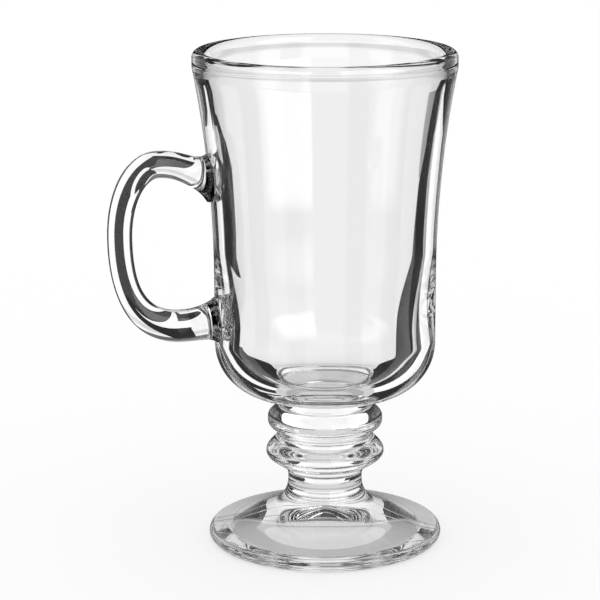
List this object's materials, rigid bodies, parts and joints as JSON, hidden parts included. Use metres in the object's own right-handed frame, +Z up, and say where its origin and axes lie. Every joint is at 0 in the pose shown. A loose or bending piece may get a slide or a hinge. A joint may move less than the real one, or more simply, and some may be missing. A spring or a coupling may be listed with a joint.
{
  "type": "irish coffee glass mug",
  "caption": "Footed clear glass mug for hot drinks: a flared bowl on a ringed stem and a round foot, with a drawn side handle.",
  "frame": {"origin": "where the mug's axis meets the table, in the middle of the foot's underside", "axes": "+Z up along the mug's axis, -X towards the handle, +Y square to the handle's plane"},
  "size_m": [0.1017, 0.0762, 0.146],
  "materials": {
    "bowl_glass": "clear, fire-polished",
    "stem_glass": "clear, pressed, with soft mould marks",
    "foot_glass": "clear, pressed",
    "handle_glass": "clear, drawn and fire-polished"
  },
  "bodies": {
    "root": {"bowl": "bowl_glass", "stem": "stem_glass", "foot": "foot_glass", "handle": "handle_glass"}
  },
  "joints": []
}
